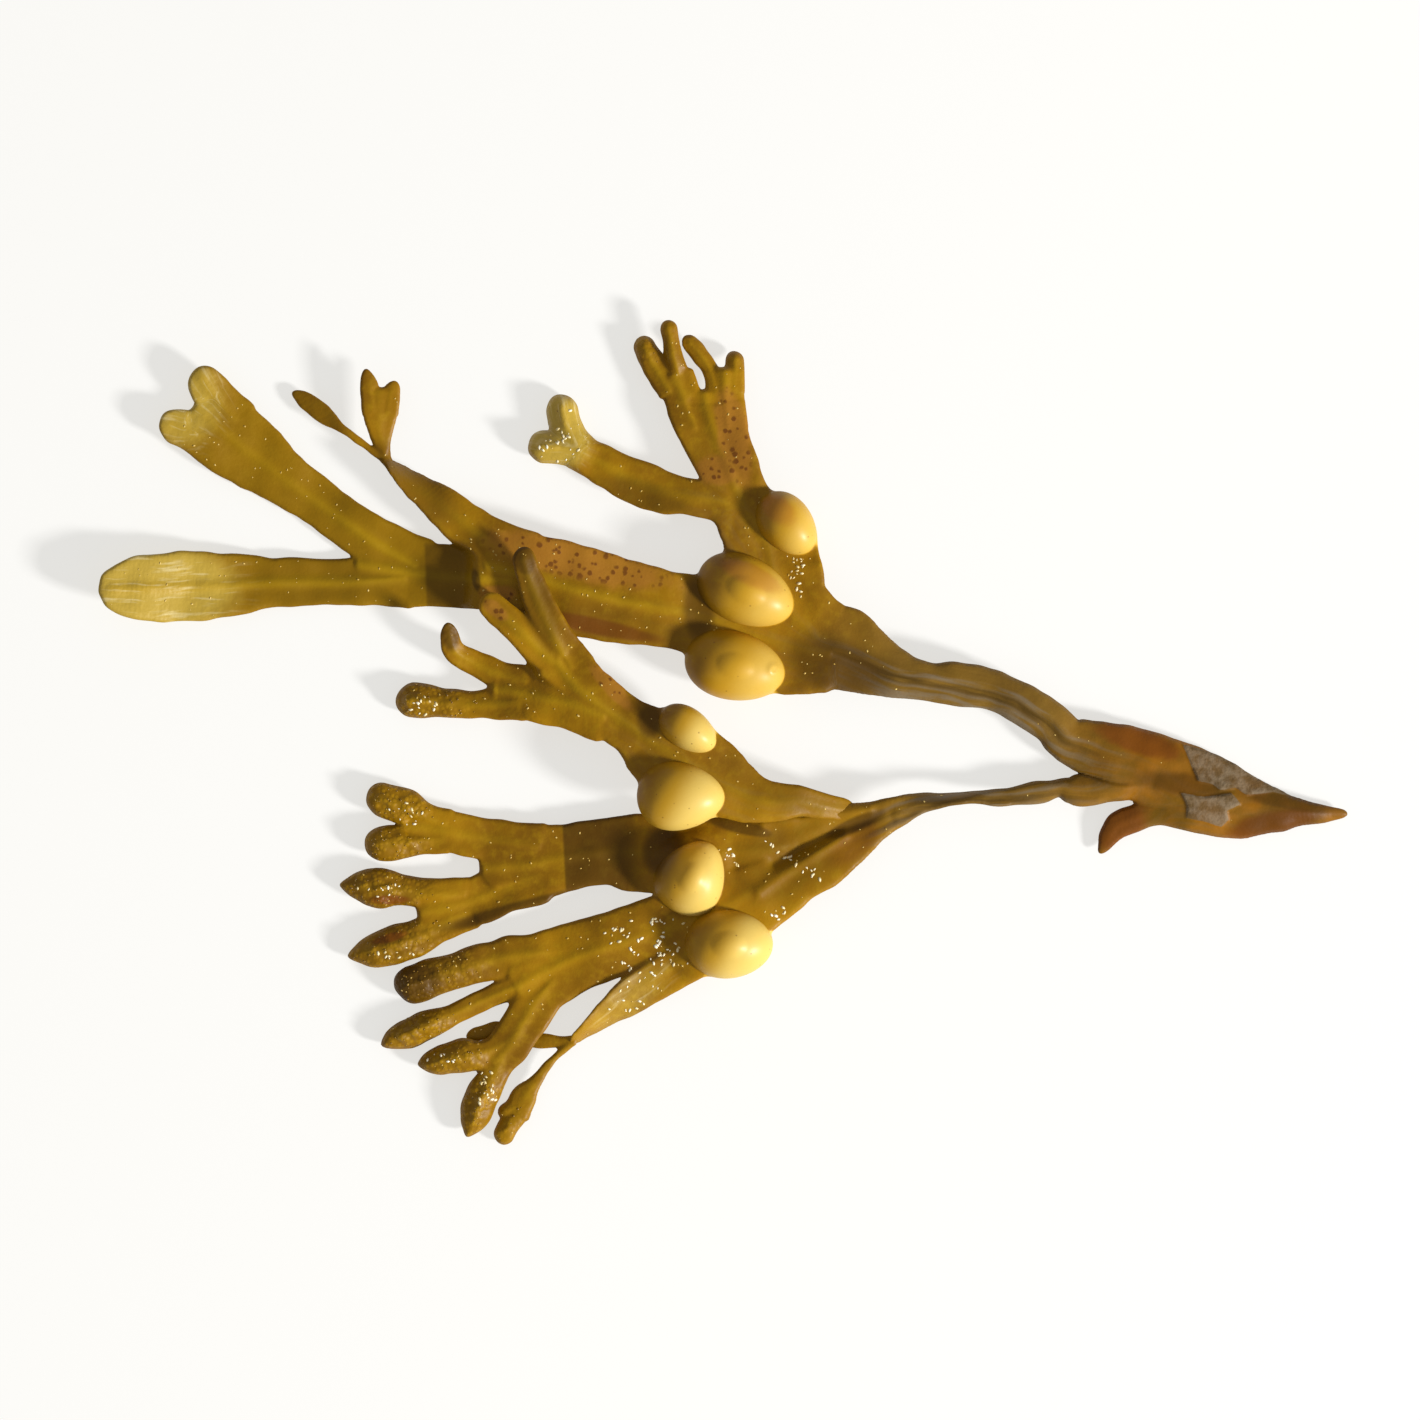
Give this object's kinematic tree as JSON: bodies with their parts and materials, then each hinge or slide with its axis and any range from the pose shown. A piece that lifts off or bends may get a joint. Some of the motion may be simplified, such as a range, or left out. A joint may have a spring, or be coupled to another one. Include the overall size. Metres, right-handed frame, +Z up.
{
  "type": "bladderwrack sprig",
  "caption": "Forked sprig of brown seaweed lying flat, with ribbon blades, a raised midrib, egg-shaped air bladders, swollen forked tips and a torn stipe.",
  "frame": {"origin": "on the surface that the sprig lies on, under the middle of its box", "axes": "+X towards the torn end of the stipe, along the sprig's length; +Y across it; +Z up from the surface"},
  "size_m": [0.1252, 0.0824, 0.0083],
  "materials": {
    "stipe": "tough brown stipe with a torn end and grey patches",
    "stalk": "drying grey-brown stalk with a satin sheen",
    "fork": "wet olive sheet with smooth glossy ochre bladders",
    "blade": "wet olive-brown blade with pale specks",
    "spotted": "olive blade with a rusty, dark-spotted margin",
    "yellow": "glossy yellow-green blade with a pale tip",
    "tips": "olive blade with darker, granular, swollen tips"
  },
  "bodies": {
    "root": {"stipe": "stipe", "upper_stalk": "stalk", "lower_stalk": "stalk", "upper_fork": "fork", "crown_branch": "blade", "club_branch": "blade", "spotted_branch": "spotted", "twisted_twig": "blade", "round_blade": "yellow", "notched_blade": "yellow", "raised_fork": "fork", "crossing_branch": "blade", "curled_branch": "tips", "lower_fork": "fork", "middle_branch": "tips", "fan_branch": "tips", "slender_branch": "blade"}
  },
  "joints": []
}
